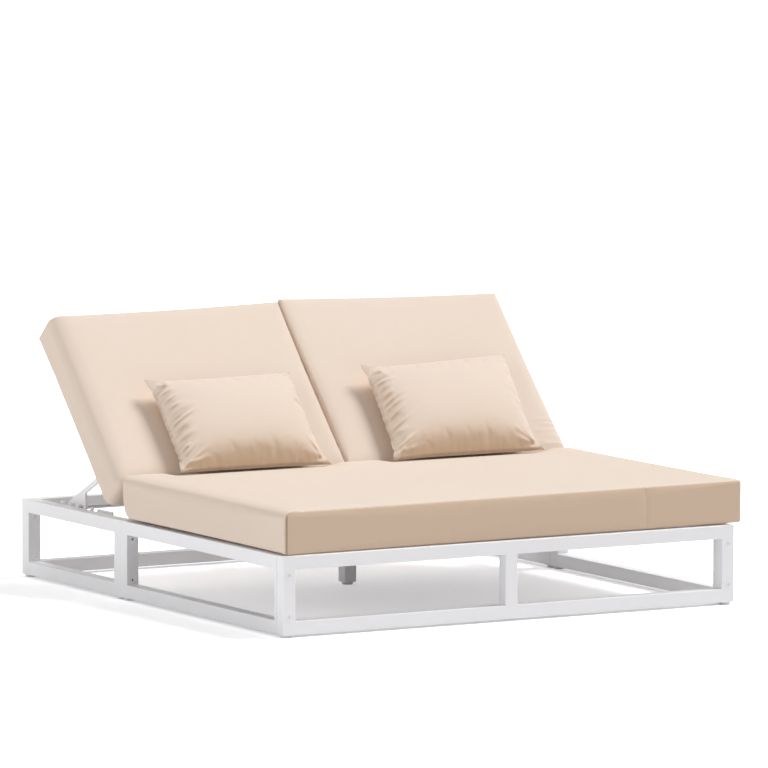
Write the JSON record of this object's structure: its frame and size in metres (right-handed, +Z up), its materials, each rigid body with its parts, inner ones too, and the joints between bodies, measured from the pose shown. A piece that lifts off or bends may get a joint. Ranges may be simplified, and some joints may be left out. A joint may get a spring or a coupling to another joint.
{
  "type": "double chaise lounger",
  "caption": "Wide low daybed lounger on a square-tube frame, with a boxed seat cushion, two backs that recline on their own over notched racks, and two throw pillows.",
  "frame": {"origin": "On the floor under the middle of the lounger's overall box.", "axes": "+Z is up, the foot end is -Y, the head end with the reclining backs is +Y, and +X is the right-hand side as seen from the foot end."},
  "size_m": [1.912, 2.003, 1.0093],
  "materials": {
    "frame_coat": "satin white powder coat on square tube",
    "slat_coat": "satin white powder coat on box slats",
    "bolt_coat": "white coated bolt heads",
    "pin_steel": "brushed stainless steel",
    "glide_plastic": "white moulded polyethylene",
    "cushion_cloth": "sand coloured outdoor weave with self seams",
    "pillow_cloth": "sand coloured outdoor weave, knife edge"
  },
  "bodies": {
    "base": {"centre_leg": "frame_coat", "foot_corner_bolts": "bolt_coat", "foot_end_bottom_rail": "frame_coat", "foot_end_middle_post": "frame_coat", "foot_end_plates": "frame_coat", "foot_end_top_rail": "frame_coat", "glides": "glide_plastic", "head_centre_beam": "frame_coat", "head_corner_bolts": "bolt_coat", "head_end_bottom_rail": "frame_coat", "head_end_middle_post": "frame_coat", "head_end_plates": "frame_coat", "head_end_top_rail": "frame_coat", "hinge_beam": "frame_coat", "hinge_brackets": "frame_coat", "left_foot_post": "frame_coat", "left_front_joint_post": "frame_coat", "left_head_bottom_rail": "frame_coat", "left_head_post": "frame_coat", "left_head_top_rail": "frame_coat", "left_racks": "frame_coat", "left_rear_joint_post": "frame_coat", "left_seat_bottom_rail": "frame_coat", "left_seat_top_rail": "frame_coat", "module_bolts": "bolt_coat", "right_foot_post": "frame_coat", "right_front_joint_post": "frame_coat", "right_head_bottom_rail": "frame_coat", "right_head_post": "frame_coat", "right_head_top_rail": "frame_coat", "right_racks": "frame_coat", "right_rear_joint_post": "frame_coat", "right_seat_bottom_rail": "frame_coat", "right_seat_top_rail": "frame_coat", "seat_centre_beam": "frame_coat", "seat_cushion": "cushion_cloth", "seat_ledges": "frame_coat", "seat_rear_beam": "frame_coat", "seat_slats": "slat_coat"},
    "left_back_panel": {"left_back_inner_rail": "frame_coat", "left_back_outer_rail": "frame_coat", "left_back_lower_rail": "frame_coat", "left_back_upper_rail": "frame_coat", "left_back_slats": "slat_coat", "left_back_pins": "pin_steel"},
    "left_prop": {"left_prop_arms": "frame_coat", "left_prop_foot_bar": "pin_steel"},
    "left_back_pad": {"left_back_cushion": "cushion_cloth", "left_pillow": "pillow_cloth"},
    "right_back_panel": {"right_back_inner_rail": "frame_coat", "right_back_outer_rail": "frame_coat", "right_back_lower_rail": "frame_coat", "right_back_upper_rail": "frame_coat", "right_back_slats": "slat_coat", "right_back_pins": "pin_steel"},
    "right_prop": {"right_prop_arms": "frame_coat", "right_prop_foot_bar": "pin_steel"},
    "right_back_pad": {"right_back_cushion": "cushion_cloth", "right_pillow": "pillow_cloth"}
  },
  "joints": [
    {"name": "left_back_tilt", "type": "hinge", "parent": "base", "child": "left_back_panel", "pos_m": [-0.4625, 0.287, 0.2825], "axis": [1, 0, 0], "range_deg": [-47.4, 20]},
    {"name": "left_prop_swing", "type": "hinge", "parent": "left_back_panel", "child": "left_prop", "pos_m": [-0.4625, 0.44742, 0.45696], "axis": [1, 0, 0], "range_deg": [-31.4, 74.4]},
    {"name": "left_pad_slide", "type": "slide", "parent": "left_back_panel", "child": "left_back_pad", "axis": [0, 0.6769, 0.7361], "range_m": [-0.14974, 0.06319]},
    {"name": "right_back_tilt", "type": "hinge", "parent": "base", "child": "right_back_panel", "pos_m": [0.4625, 0.287, 0.2825], "axis": [1, 0, 0], "range_deg": [-47.4, 20]},
    {"name": "right_prop_swing", "type": "hinge", "parent": "right_back_panel", "child": "right_prop", "pos_m": [0.4625, 0.44742, 0.45696], "axis": [1, 0, 0], "range_deg": [-31.4, 74.4]},
    {"name": "right_pad_slide", "type": "slide", "parent": "right_back_panel", "child": "right_back_pad", "axis": [0, 0.6769, 0.7361], "range_m": [-0.14974, 0.06319]}
  ],
  "couplings": [
    {"joint": "left_prop_swing", "follows": "left_back_tilt", "ratio": -1.5696},
    {"joint": "left_pad_slide", "follows": "left_back_tilt", "m_per_rad": 0.181},
    {"joint": "right_prop_swing", "follows": "right_back_tilt", "ratio": -1.5696},
    {"joint": "right_pad_slide", "follows": "right_back_tilt", "m_per_rad": 0.181}
  ]
}
